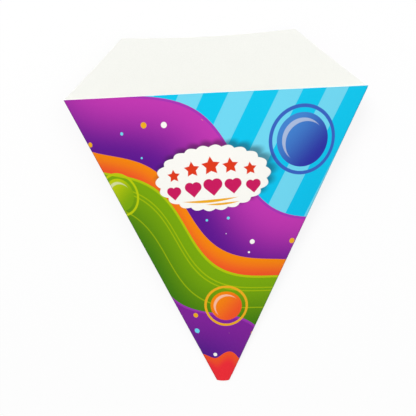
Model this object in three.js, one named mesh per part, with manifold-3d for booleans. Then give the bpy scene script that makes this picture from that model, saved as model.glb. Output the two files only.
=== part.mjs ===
// A flat pocket cone of white card, printed on its outside, lying on its back panel.
//
// The blank is one piece: a triangular front panel, a taller back panel whose top stands up as a
// tongue with two cut-off corners, and a narrow glue flap. It folds at two creases that run from
// the blunt tip to the ends of the mouth. The flap turns in at the right crease and the back panel
// is glued over it. Squeezed open, each panel bows out as a piece of a round cone about the tip.
//
// Lengths are in millimetres and angles in degrees. X runs across the mouth, Y from the tip to the
// mouth, and Z up from the surface that the back panel rests on.

import * as THREE from 'three';
import { mergeVertices } from 'three/addons/utils/BufferGeometryUtils.js';
import Module from 'manifold-3d';

// The card, white on its inside and at its cut edges
const CARD_THICKNESS = 0.4;
const CARD_COLOUR = 0xf4f4f0;
const CARD_ROUGHNESS = 0.6;

// The blank. Heights are measured square to the mouth, from the point where the creases would meet.
const CREASE_ANGLE = 52;
const FRONT_HEIGHT = 146;
const BACK_HEIGHT = 176;
const TONGUE_TOP_WIDTH = 83;
const TONGUE_SHIFT = -2;
const TONGUE_CORNER_RADIUS = 1.5;
const BACK_EDGE_INSET = 0.5;
const TIP_WIDTH = 6;

// The glue flap, a wedge that starts a little above the tip and stops a little short of the mouth
const FLAP_ANGLE = 6;
const FLAP_START = 10;
const FLAP_START_TAPER = 20;
const FLAP_MOUTH_SETBACK = 1;
const FLAP_MOUTH_TAPER = 12;
const GLUE_BITE = 0.03;

// How far each panel bows out at the middle of the mouth, and where the back panel climbs on to the flap
const MOUTH_BOW = 13.5;
const CLIMB_ANGLE = 6;

// Facets across each panel, an odd number so that the back panel rests on a flat one in its middle.
// No even fold line lies closer to a corner of the outline than a share of a facet.
const FACETS = 21;
const LEAST_FACET_SHARE = 1 / 12;
const FOLD_STEPS = 6;
const CORNER_STEPS = 3;

// How near two angles, in radians, and two points are the same
const SAME_ANGLE = 1e-9;
const SAME_POINT = 1e-5;

const FRONT = 1;
const BACK = -1;
const HALF = THREE.MathUtils.degToRad(CREASE_ANGLE / 2);
const SKIN = CARD_THICKNESS / 2;

const wasm = await Module();
wasm.setup();

// A cone through both creases. Its opening is found from the bow by halving an interval: the
// flatter the cone, the smaller the bow. turn is the angle round the cone for each blank angle.
function bowedCone(bow) {
  const measure = (opening) => {
    const turn = 1 / Math.sin(opening);
    const edge = coneRay(opening, turn, HALF);
    const tilt = Math.atan2(edge.z, edge.y);
    const middle = coneRay(opening, turn, 0).applyAxisAngle(new THREE.Vector3(1, 0, 0), -tilt);
    return { opening, turn, tilt, sag: -middle.z * FRONT_HEIGHT };
  };
  let low = HALF;
  let high = Math.PI / 2;
  while (high - low > SAME_ANGLE) {
    const middle = (low + high) / 2;
    if (measure(middle).sag > bow) low = middle;
    else high = middle;
  }
  return measure((low + high) / 2);
}

function coneRay(opening, turn, angle) {
  const around = angle * turn;
  return new THREE.Vector3(
    Math.sin(opening) * Math.sin(around),
    Math.sin(opening) * Math.cos(around),
    Math.cos(opening),
  );
}

const CONE = bowedCone(MOUTH_BOW);

// Direction from the tip, and the outward normal, for an angle on the blank. The creases lie in the
// plane Z = 0, the back panel bows down from it and the front panel bows up.
function ray(side, angle) {
  const direction = coneRay(CONE.opening, CONE.turn, angle);
  direction.applyAxisAngle(new THREE.Vector3(1, 0, 0), -CONE.tilt);
  direction.z *= -side;
  return direction;
}

function outward(side, angle) {
  const around = angle * CONE.turn;
  const normal = new THREE.Vector3(
    Math.cos(CONE.opening) * Math.sin(around),
    Math.cos(CONE.opening) * Math.cos(around),
    -Math.sin(CONE.opening),
  );
  normal.applyAxisAngle(new THREE.Vector3(1, 0, 0), -CONE.tilt);
  normal.z *= -side;
  return normal;
}

// Points of the blank are [x, y] from the tip, with the panel's middle along y.
const angleOf = ([x, y]) => Math.atan2(x, y);
const cross = (a, b) => a[0] * b[1] - a[1] * b[0];

// Distance from the tip, along the ray at an angle, to an outline that is ordered left to right.
function reach(outline, angle) {
  const last = outline.length - 2;
  let index = 0;
  while (index < last && angleOf(outline[index + 1]) < angle) index += 1;
  const start = outline[index];
  const along = [outline[index + 1][0] - start[0], outline[index + 1][1] - start[1]];
  return cross(start, along) / cross([Math.sin(angle), Math.cos(angle)], along);
}

// Replaces a corner between two neighbours by an arc that touches both sides.
function roundedCorner(before, corner, after, radius) {
  const [a, b, c] = [before, corner, after].map(([x, y]) => new THREE.Vector2(x, y));
  const toA = a.clone().sub(b).normalize();
  const toC = c.clone().sub(b).normalize();
  const halfOpening = Math.acos(toA.dot(toC)) / 2;
  const bisector = toA.clone().add(toC).normalize();
  const centre = b.clone().addScaledVector(bisector, radius / Math.sin(halfOpening));
  const foot = b.clone().addScaledVector(toA, radius / Math.tan(halfOpening));
  const swing = Math.PI - 2 * halfOpening;
  const sense = Math.sign(cross([toC.x, toC.y], [toA.x, toA.y]));
  const points = [];
  for (let step = 0; step <= CORNER_STEPS; step += 1) {
    const spoke = foot.clone().sub(centre);
    spoke.rotateAround(new THREE.Vector2(), (sense * swing * step) / CORNER_STEPS);
    points.push([centre.x + spoke.x, centre.y + spoke.y]);
  }
  return points;
}

// The angles at which a panel is folded into facets: the even steps across it and every corner of
// its outline.
function stations(outlines, first, last) {
  const corners = outlines.flat().map(angleOf).filter((angle) => angle > first && angle < last);
  const facet = (2 * HALF) / FACETS;
  const even = [];
  for (let index = 0; index <= FACETS; index += 1) even.push((index - FACETS / 2) * facet);
  const clear = facet * LEAST_FACET_SHARE;
  const kept = even.filter((angle) => angle > first + clear && angle < last - clear
    && corners.every((corner) => Math.abs(corner - angle) > clear));
  const sorted = [first, last, ...corners, ...kept].sort((a, b) => a - b);
  return sorted.filter((angle, index) => index === 0 || angle - sorted[index - 1] > SAME_ANGLE);
}

// A closed wall of card over part of a panel. lift(angle) moves its middle layer outward. Where
// fold is -1 or 1, the wall's first or last edge carries the rounded outside of that crease, round
// to the panel on the other side.
function wall({ side, angles, inner, outer, lift = () => 0, fold = 0 }) {
  const rim = (reachAt) => {
    const point = (angle, layer) => ray(side, angle).multiplyScalar(reachAt(angle))
      .addScaledVector(outward(side, angle), lift(angle) + layer * SKIN);
    const outside = angles.map((angle) => point(angle, 1));
    const inside = angles.map((angle) => point(angle, -1)).reverse();
    const arc = fold === 0 ? [] : foldArc(side, angles.at(fold < 0 ? 0 : -1), reachAt);
    return fold < 0 ? [...arc.reverse(), ...outside, ...inside] : [...outside, ...arc, ...inside];
  };
  return solidBetween(rim(inner), rim(outer));
}

function foldArc(side, angle, reachAt) {
  const spine = ray(side, angle).multiplyScalar(reachAt(angle));
  const from = outward(side, angle);
  const to = outward(-side, angle);
  const swing = from.angleTo(to);
  const axis = from.clone().cross(to).normalize();
  const arc = [];
  for (let step = 1; step <= FOLD_STEPS; step += 1) {
    const spoke = from.clone().applyAxisAngle(axis, (swing * step) / FOLD_STEPS);
    arc.push(spine.clone().addScaledVector(spoke, SKIN));
  }
  return arc;
}

// Joins two matching rims, the one nearer the tip and the one nearer the mouth, into a closed body.
function solidBetween(nearRim, farRim) {
  const count = nearRim.length;
  const triangles = [];
  rimTriangles(nearRim, farRim).forEach(([a, b, c]) => {
    triangles.push([a, b, c], [count + a, count + c, count + b]);
  });
  for (let index = 0; index < count; index += 1) {
    const next = (index + 1) % count;
    triangles.push([index, count + index, next], [next, count + index, count + next]);
  }
  return toManifold([...nearRim, ...farRim], triangles);
}

// Fills the rim, which is a simple polygon when it is seen from the tip, keeping its direction.
function rimTriangles(nearRim, farRim) {
  const middle = nearRim.map((point, index) => point.clone().lerp(farRim[index], 0.5));
  const outline = middle.map((point) => new THREE.Vector2(point.x / point.y, point.z / point.y));
  const sense = Math.sign(THREE.ShapeUtils.area(outline));
  return THREE.ShapeUtils.triangulateShape(outline, []).map(([a, b, c]) => {
    const same = Math.sign(THREE.ShapeUtils.area([outline[a], outline[b], outline[c]])) === sense;
    return same ? [a, b, c] : [a, c, b];
  });
}

function toManifold(points, triangles) {
  const geometry = new THREE.BufferGeometry();
  geometry.setAttribute('position', new THREE.Float32BufferAttribute(points.flatMap((p) => p.toArray()), 3));
  geometry.setIndex(triangles.flat());
  const merged = mergeVertices(geometry, SAME_POINT);
  const kept = [];
  const index = merged.index.array;
  for (let start = 0; start < index.length; start += 3) {
    const [a, b, c] = index.slice(start, start + 3);
    if (a !== b && b !== c && c !== a) kept.push(a, b, c);
  }
  const make = (list) => new wasm.Manifold(new wasm.Mesh({
    numProp: 3,
    vertProperties: new Float32Array(merged.attributes.position.array),
    triVerts: Uint32Array.from(list),
  }));
  const solid = make(kept);
  if (solid.volume() > 0) return solid;
  for (let start = 0; start < kept.length; start += 3) {
    [kept[start + 1], kept[start + 2]] = [kept[start + 2], kept[start + 1]];
  }
  return make(kept);
}

const tipCut = (TIP_WIDTH / 2) / Math.tan(HALF);
const mouthHalf = FRONT_HEIGHT * Math.tan(HALF);

function frontPanel() {
  const top = [[-mouthHalf, FRONT_HEIGHT], [mouthHalf, FRONT_HEIGHT]];
  const bottom = [[-TIP_WIDTH / 2, tipCut], [TIP_WIDTH / 2, tipCut]];
  return wall({
    side: FRONT,
    angles: stations([top, bottom], -HALF, HALF),
    inner: (angle) => reach(bottom, angle),
    outer: (angle) => reach(top, angle),
  });
}

// The back panel stops short of the right crease by the inset. Its cut-off corners run from the ends
// of the mouth to the tongue's top, which sits a little away from the glued side.
function backPanel() {
  const inset = BACK_EDGE_INSET / Math.cos(HALF);
  const left = [-mouthHalf, FRONT_HEIGHT];
  const right = [mouthHalf - inset, FRONT_HEIGHT];
  const topLeft = [TONGUE_SHIFT - TONGUE_TOP_WIDTH / 2, BACK_HEIGHT];
  const topRight = [TONGUE_SHIFT + TONGUE_TOP_WIDTH / 2, BACK_HEIGHT];
  const top = [
    left,
    ...roundedCorner(left, topLeft, topRight, TONGUE_CORNER_RADIUS),
    ...roundedCorner(topLeft, topRight, right, TONGUE_CORNER_RADIUS),
    right,
  ];
  const bottom = [[-TIP_WIDTH / 2, tipCut], [TIP_WIDTH / 2 - inset, tipCut], right];
  const flapEdge = HALF - THREE.MathUtils.degToRad(FLAP_ANGLE);
  const climbStart = flapEdge - THREE.MathUtils.degToRad(CLIMB_ANGLE);
  return wall({
    side: BACK,
    angles: stations([top, bottom, flapOutline().far], -HALF, angleOf(right)),
    inner: (angle) => reach(bottom, angle),
    outer: (angle) => reach(top, angle),
    lift: (angle) => (CARD_THICKNESS - GLUE_BITE) * THREE.MathUtils.smoothstep(angle, climbStart, flapEdge),
    fold: -1,
  });
}

// The flap's edges nearer the tip and nearer the mouth, from its free edge to the right crease.
function flapOutline() {
  const freeEdge = HALF - THREE.MathUtils.degToRad(FLAP_ANGLE);
  const at = (angle, distance) => [distance * Math.sin(angle), distance * Math.cos(angle)];
  const creaseEnd = FRONT_HEIGHT / Math.cos(HALF) - FLAP_MOUTH_SETBACK;
  return {
    near: [at(freeEdge, FLAP_START + FLAP_START_TAPER), at(HALF, FLAP_START)],
    far: [at(freeEdge, creaseEnd - FLAP_MOUTH_TAPER), at(HALF, creaseEnd)],
  };
}

function glueFlap() {
  const { near, far } = flapOutline();
  const right = [mouthHalf - BACK_EDGE_INSET / Math.cos(HALF), FRONT_HEIGHT];
  return wall({
    side: BACK,
    angles: stations([near, far, [right]], angleOf(far[0]), HALF),
    inner: (angle) => reach(near, angle),
    outer: (angle) => reach(far, angle),
    fold: 1,
  });
}

// Turns the pocket so that the back panel's middle facet lies flat on Z = 0, and centres it there.
function laidDown(geometry) {
  const edge = ray(BACK, HALF / FACETS);
  geometry.rotateX(Math.atan2(-edge.z, edge.y));
  geometry.computeBoundingBox();
  const { min, max } = geometry.boundingBox;
  geometry.translate(-(min.x + max.x) / 2, -(min.y + max.y) / 2, -min.z);
  return geometry;
}

function paperCone() {
  const solid = frontPanel().add(backPanel()).add(glueFlap());
  const mesh = solid.getMesh();
  const geometry = new THREE.BufferGeometry();
  geometry.setAttribute('position', new THREE.Float32BufferAttribute(mesh.vertProperties, 3));
  geometry.setIndex(Array.from(mesh.triVerts));
  const card = new THREE.MeshStandardMaterial({
    color: CARD_COLOUR,
    roughness: CARD_ROUGHNESS,
    metalness: 0,
  });
  const cone = new THREE.Mesh(laidDown(geometry), card);
  cone.name = 'paper_cone';
  return cone;
}

const part = new THREE.Group();
part.add(paperCone());

export default part;
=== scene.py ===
"""A flat pocket cone of printed card, lying on its back panel under soft studio light.

The blank is one sheet: a glue flap, a front panel, and a back panel that stands taller as a tongue.
It is drawn flat in millimetres, measured from the point where its two creases would meet, and a
tree of geometry nodes then bows and folds it. The print is drawn in the same flat measure.
"""

import logging
import math
from dataclasses import dataclass
from enum import Enum, IntEnum
from typing import Any, Callable, Sequence

import bpy
from mathutils import Matrix, Vector


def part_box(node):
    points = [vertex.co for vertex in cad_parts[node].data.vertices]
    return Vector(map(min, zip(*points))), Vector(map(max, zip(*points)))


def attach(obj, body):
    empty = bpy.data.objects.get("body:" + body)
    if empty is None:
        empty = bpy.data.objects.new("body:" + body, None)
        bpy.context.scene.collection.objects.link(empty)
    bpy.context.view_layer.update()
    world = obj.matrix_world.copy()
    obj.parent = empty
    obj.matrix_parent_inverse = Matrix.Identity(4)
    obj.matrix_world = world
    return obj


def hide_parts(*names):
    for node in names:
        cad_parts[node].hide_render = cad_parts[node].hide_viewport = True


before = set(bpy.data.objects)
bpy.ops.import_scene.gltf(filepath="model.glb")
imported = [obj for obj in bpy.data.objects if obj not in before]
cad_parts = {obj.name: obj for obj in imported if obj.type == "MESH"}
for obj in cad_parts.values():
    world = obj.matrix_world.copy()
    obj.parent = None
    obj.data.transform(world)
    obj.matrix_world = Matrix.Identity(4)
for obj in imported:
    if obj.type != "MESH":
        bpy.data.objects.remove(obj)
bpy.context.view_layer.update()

log = logging.getLogger("paper_cone")

MM = 0.001
UV_SPAN = 100.0
PICTURE_SIDE = 416.0


class Side(IntEnum):
    """The two panels that meet at the creases. The back panel bows down and the front panel up."""

    FRONT = 1
    BACK = -1


class Surface(IntEnum):
    """The kinds of surface on the card, which are also the places of its materials."""

    PRINTED = 0
    BARE = 1
    CUT = 2


class Ink(Enum):
    """Colours of the print, as red, green and blue from 0 to 255."""

    CYAN = (2, 188, 234)
    AQUA = (2, 198, 237)
    PALE_CYAN = (112, 215, 241)
    TEAL = (92, 205, 222)
    SKY = (66, 130, 206)
    BLUE = (56, 98, 190)
    INDIGO = (43, 47, 160)
    VIOLET = (62, 19, 130)
    PLUM = (92, 18, 142)
    PURPLE = (129, 33, 152)
    ORCHID = (160, 52, 178)
    MAGENTA = (192, 54, 176)
    CRIMSON = (200, 22, 92)
    VERMILION = (222, 56, 24)
    CORAL = (238, 44, 54)
    ORANGE_RED = (240, 84, 36)
    ORANGE = (246, 134, 2)
    AMBER = (238, 172, 30)
    LIME = (188, 204, 4)
    LEAF = (122, 168, 3)
    FOREST = (46, 112, 6)
    WHITE = (250, 249, 243)
    # SHADE serves the plaque's printed shadow and the painted shade along the creases.
    SHADE = (26, 22, 44)

    def linear(self) -> tuple[float, float, float, float]:
        """Works out the colour as Blender reads it.

        Returns:
            Its linear red, green and blue, and an alpha of 1.
        """
        shares = [channel / 255 for channel in self.value]
        low = [share / 12.92 for share in shares]
        high = [((share + 0.055) / 1.055) ** 2.4 for share in shares]
        return (*(a if share <= 0.04045 else b for share, a, b in zip(shares, low, high)), 1.0)


class Wire:
    """An output socket whose operators add the nodes that work them out."""

    def __init__(self, graph: "Graph", socket: bpy.types.NodeSocket) -> None:
        """Wraps a socket.

        Args:
            graph: The graph that holds the socket.
            socket: An output socket.
        """
        self.graph = graph
        self.socket = socket

    def __add__(self, other: "Value") -> "Wire":
        """Returns the sum."""
        return self.graph.maths("ADD", self, other)

    def __radd__(self, other: "Value") -> "Wire":
        """Returns the sum, with the number first."""
        return self.graph.maths("ADD", other, self)

    def __sub__(self, other: "Value") -> "Wire":
        """Returns the difference."""
        return self.graph.maths("SUBTRACT", self, other)

    def __rsub__(self, other: "Value") -> "Wire":
        """Returns the difference, with the number first."""
        return self.graph.maths("SUBTRACT", other, self)

    def __mul__(self, other: "Value") -> "Wire":
        """Returns the product."""
        return self.graph.maths("MULTIPLY", self, other)

    def __rmul__(self, other: "Value") -> "Wire":
        """Returns the product, with the number first."""
        return self.graph.maths("MULTIPLY", other, self)

    def __truediv__(self, other: "Value") -> "Wire":
        """Returns the quotient."""
        return self.graph.maths("DIVIDE", self, other)

    def __rtruediv__(self, other: "Value") -> "Wire":
        """Returns the quotient, with the number first."""
        return self.graph.maths("DIVIDE", other, self)

    def __neg__(self) -> "Wire":
        """Returns the value with its sign turned."""
        return self.graph.maths("MULTIPLY", self, -1.0)

    def __abs__(self) -> "Wire":
        """Returns the size of the value."""
        return self.graph.maths("ABSOLUTE", self)

    @property
    def is_vector(self) -> bool:
        """Whether the socket carries three numbers."""
        return self.socket.type in {"VECTOR", "RGBA", "ROTATION"}


Value = Wire | Ink | float | int | Sequence[float]


class Graph:
    """A node tree of a material or of geometry nodes, and short ways to add nodes to it."""

    def __init__(self, tree: bpy.types.NodeTree) -> None:
        """Wraps a node tree.

        Args:
            tree: The tree that takes the nodes.
        """
        self.tree = tree

    @staticmethod
    def socket(sockets: bpy.types.bpy_prop_collection, key: str | int) -> bpy.types.NodeSocket:
        """Finds a socket by its place, its identifier or its name.

        Args:
            sockets: The inputs or outputs of a node.
            key: The place, identifier or name.

        Returns:
            The socket.
        """
        if isinstance(key, int):
            return sockets[key]
        for socket in sockets:
            if socket.identifier == key:
                return socket
        return next(socket for socket in sockets if socket.name == key and socket.enabled)

    def node(self, kind: str, settings: dict | None = None, values: dict | None = None) -> bpy.types.Node:
        """Adds a node.

        Args:
            kind: The node's type.
            settings: Properties, which are set before any socket is read.
            values: A number, a colour or a wire for each input socket that is named.

        Returns:
            The node.
        """
        node = self.tree.nodes.new(kind)
        for name, setting in (settings or {}).items():
            setattr(node, name, setting)
        for key, value in (values or {}).items():
            self.feed(self.socket(node.inputs, key), value)
        return node

    def feed(self, socket: bpy.types.NodeSocket, value: Value) -> None:
        """Links a wire to an input socket, or writes a plain value on it.

        Args:
            socket: The input socket.
            value: What goes in.
        """
        if isinstance(value, Ink):
            value = value.linear()
        if isinstance(value, Wire):
            self.tree.links.new(value.socket, socket)
        elif isinstance(value, (int, float)) and socket.type in {"VECTOR", "RGBA"}:
            socket.default_value = [value] * len(socket.default_value)
        else:
            socket.default_value = value

    def wire(self, node: bpy.types.Node, key: str | int = 0) -> Wire:
        """Returns one output of a node as a wire."""
        return Wire(self, self.socket(node.outputs, key))

    def maths(self, operation: str, *values: Value) -> Wire:
        """Adds a Math node, or a Vector Math node where one of the values is a vector.

        Args:
            operation: The node's operation.
            values: Its inputs, in order.

        Returns:
            The result.
        """
        vector = any(isinstance(value, Wire) and value.is_vector for value in values)
        kind = "ShaderNodeVectorMath" if vector else "ShaderNodeMath"
        return self.wire(self.node(kind, {"operation": operation}, dict(enumerate(values))))

    def low(self, first: Value, second: Value) -> Wire:
        """Returns the smaller of two numbers."""
        return self.maths("MINIMUM", first, second)

    def high(self, first: Value, second: Value) -> Wire:
        """Returns the larger of two numbers."""
        return self.maths("MAXIMUM", first, second)

    def length(self, x: Value, y: Value) -> Wire:
        """Returns the distance of the point (x, y) from zero."""
        return self.maths("SQRT", x * x + y * y)

    def ramp(self, value: Value, start: float, end: float, smooth: bool = True) -> Wire:
        """Rises from 0 where a value is start to 1 where it is end.

        Args:
            value: The value that is read.
            start: Where the ramp leaves 0.
            end: Where it reaches 1.
            smooth: Whether the ramp eases in and out.

        Returns:
            The share, from 0 to 1.
        """
        easing = "SMOOTHSTEP" if smooth else "LINEAR"
        settings = {"interpolation_type": easing, "clamp": True}
        values = {"Value": value, "From Min": start, "From Max": end, "To Min": 0.0, "To Max": 1.0}
        return self.wire(self.node("ShaderNodeMapRange", settings, values))

    def blend(self, first: Value, second: Value, share: Value) -> Wire:
        """Mixes two colours.

        Args:
            first: The colour where the share is 0.
            second: The colour where the share is 1.
            share: How much of the second colour there is.

        Returns:
            The mixed colour.
        """
        values = {"Factor_Float": share, "A_Color": first, "B_Color": second}
        return self.wire(self.node("ShaderNodeMix", {"data_type": "RGBA"}, values), "Result_Color")

    def split(self, vector: Wire) -> tuple[Wire, Wire, Wire]:
        """Returns the three numbers of a vector."""
        node = self.node("ShaderNodeSeparateXYZ", values={0: vector})
        return self.wire(node, 0), self.wire(node, 1), self.wire(node, 2)

    def join(self, x: Value, y: Value, z: Value = 0.0) -> Wire:
        """Returns a vector made of three numbers."""
        return self.wire(self.node("ShaderNodeCombineXYZ", values={0: x, 1: y, 2: z}))

    def noise(self, vector: Wire, scale: float, detail: float = 2.0, roughness: float = 0.5) -> Wire:
        """Adds a noise texture.

        Args:
            vector: Where the noise is read.
            scale: How many of its waves fit in one unit.
            detail: How many finer layers it has.
            roughness: How strong the finer layers are.

        Returns:
            The noise, about 0.5 on average.
        """
        values = {"Vector": vector, "Scale": scale, "Detail": detail, "Roughness": roughness}
        return self.wire(self.node("ShaderNodeTexNoise", values=values))


def emptied(owner: bpy.types.Material | bpy.types.World) -> Graph:
    """Clears the node tree of a material or a world.

    Args:
        owner: What holds the tree.

    Returns:
        The graph of the empty tree.
    """
    owner.use_nodes = True
    owner.node_tree.nodes.clear()
    return Graph(owner.node_tree)


def added(name: str, data: bpy.types.ID) -> bpy.types.Object:
    """Makes an object and adds it to the scene.

    Args:
        name: Its name.
        data: The mesh, lamp or camera that it shows.

    Returns:
        The object.
    """
    made = bpy.data.objects.new(name, data)
    bpy.context.scene.collection.objects.link(made)
    return made


def eased(share: float) -> float:
    """Returns a share that is held between 0 and 1 and eases in and out."""
    held = min(1.0, max(0.0, share))
    return held * held * (3 - 2 * held)


@dataclass(frozen=True)
class BlankSizes:
    """Sizes of the flat blank in millimetres and degrees, the same as those of the solid."""

    thickness: float = 0.4
    crease_angle: float = 52.0
    front_height: float = 146.0
    back_height: float = 176.0
    tongue_top_width: float = 83.0
    tongue_shift: float = -2.0
    corner_radius: float = 1.5
    edge_inset: float = 0.5
    tip_width: float = 6.0
    flap_angle: float = 6.0
    flap_start: float = 10.0
    flap_start_taper: float = 20.0
    flap_mouth_setback: float = 1.0
    flap_mouth_taper: float = 12.0
    mouth_bow: float = 13.5
    climb_angle: float = 6.0
    glue_gap: float = 0.03
    resting_facets: int = 21

    @property
    def half(self) -> float:
        """Half of the angle between the creases, in radians."""
        return math.radians(self.crease_angle / 2)

    @property
    def skin(self) -> float:
        """Distance from the middle of the card to its surface."""
        return self.thickness / 2

    @property
    def tip_cut(self) -> float:
        """Height at which the tip is cut off."""
        return self.tip_width / 2 / math.tan(self.half)

    @property
    def mouth_half(self) -> float:
        """Half of the front panel's width at the mouth."""
        return self.front_height * math.tan(self.half)


class BowedCone:
    """The round cone that both panels bow out to, found from how far the mouth bows."""

    HALVINGS = 60

    def __init__(self, sizes: BlankSizes) -> None:
        """Finds the opening of the cone by halving an interval: a flatter cone bows less.

        Args:
            sizes: Sizes of the blank.
        """
        self.sizes = sizes
        low, high = sizes.half, math.pi / 2
        for _ in range(self.HALVINGS):
            self.opening = (low + high) / 2
            bow = -self.ray(0.0).z * sizes.front_height
            if bow > sizes.mouth_bow:
                low = self.opening
            else:
                high = self.opening

    @property
    def turn(self) -> float:
        """Angle round the cone for each angle on the blank."""
        return 1 / math.sin(self.opening)

    @property
    def tilt(self) -> float:
        """Angle that lays the creases in the plane between the panels."""
        around = self.sizes.half * self.turn
        return math.atan2(math.cos(self.opening), math.sin(self.opening) * math.cos(around))

    def ray(self, angle: float) -> Vector:
        """Follows the panel that bows down.

        Args:
            angle: Angle from the panel's middle, in radians.

        Returns:
            The direction from the tip.
        """
        around = angle * self.turn
        level = math.sin(self.opening)
        straight = Vector((level * math.sin(around), level * math.cos(around), math.cos(self.opening)))
        return Matrix.Rotation(-self.tilt, 3, "X") @ straight

    @property
    def crease_slope(self) -> float:
        """Finds how steeply the panels meet.

        Returns:
            The angle at which each panel leaves the plane of the creases.
        """
        around = self.sizes.half * self.turn
        level = math.cos(self.opening)
        straight = Vector((level * math.sin(around), level * math.cos(around), -math.sin(self.opening)))
        return math.acos(abs((Matrix.Rotation(-self.tilt, 3, "X") @ straight).z))

    @property
    def crease_swing(self) -> float:
        """Angle through which the outside of the card turns at a crease."""
        return math.pi - 2 * self.crease_slope

    @property
    def lean(self) -> float:
        """Angle that lays the middle of the back panel level."""
        edge = self.ray(self.sizes.half / self.sizes.resting_facets)
        return math.atan2(-edge.z, edge.y)


@dataclass
class Column:
    """One line of the sheet, from its end near the tip to its end near the mouth."""

    side: Side
    near: Vector
    far: Vector
    roll: float = 0.0
    flap: bool = False
    mitred: bool = False

    def end(self, at_tip: bool) -> Vector:
        """Returns its end near the tip, or else its end near the mouth."""
        return self.near if at_tip else self.far


class Outline:
    """The far edge of a panel, as points in order, and what crosses it."""

    def __init__(self, points: Sequence[Vector]) -> None:
        """Takes the points of the edge, left to right."""
        self.points = list(points)

    def at_angle(self, angle: float) -> Vector:
        """Finds where the ray at an angle from the tip crosses the edge.

        Args:
            angle: Angle from the panel's middle, in radians.

        Returns:
            The point on the edge.
        """
        index = 0
        while index < len(self.points) - 2 and self.angle_of(self.points[index + 1]) < angle:
            index += 1
        start = self.points[index]
        along = self.points[index + 1] - start
        ray = Vector((math.sin(angle), math.cos(angle)))
        return ray * (start.cross(along) / ray.cross(along))

    @staticmethod
    def angle_of(point: Vector) -> float:
        """Returns the angle of a point of the blank from the panel's middle."""
        return math.atan2(point.x, point.y)


def mirrored(point: Vector) -> Vector:
    """Returns the place of a point on the other side of the panel's middle."""
    return Vector((-point.x, point.y))


def beside_crease(corner: Vector, along_edge: Vector, crease: Vector, distance: float) -> Vector:
    """Finds the point of an edge that lies at a distance square to a crease.

    Args:
        corner: Where the edge meets the crease.
        along_edge: Direction of the edge, away from the crease.
        crease: Direction of the crease.
        distance: Distance from the crease.

    Returns:
        The point on the edge.
    """
    direction = along_edge.normalized()
    return corner + direction * (distance / abs(direction.cross(crease.normalized())))


def rounded(before: Vector, corner: Vector, after: Vector, radius: float, steps: int) -> list[Vector]:
    """Rounds a corner between two neighbours.

    Args:
        before: The point before the corner.
        corner: The corner.
        after: The point after it.
        radius: Radius of the arc.
        steps: Steps along the arc.

    Returns:
        The points of the arc, in order.
    """
    to_before = (before - corner).normalized()
    to_after = (after - corner).normalized()
    half_opening = math.acos(to_before.dot(to_after)) / 2
    centre = corner + (to_before + to_after).normalized() * (radius / math.sin(half_opening))
    foot = corner + to_before * (radius / math.tan(half_opening))
    swing = math.copysign(math.pi - 2 * half_opening, to_after.cross(to_before))
    spoke = foot - centre
    return [centre + Matrix.Rotation(swing * step / steps, 2) @ spoke for step in range(steps + 1)]


@dataclass(frozen=True)
class Weave:
    """How finely the sheet is divided."""

    front_columns: int = 64
    back_columns: int = 66
    flap_columns: int = 5
    rows: int = 56
    end_rows: int = 2
    fan_steps: int = 8
    corner_steps: int = 5
    corner_snap: float = 0.35


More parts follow.
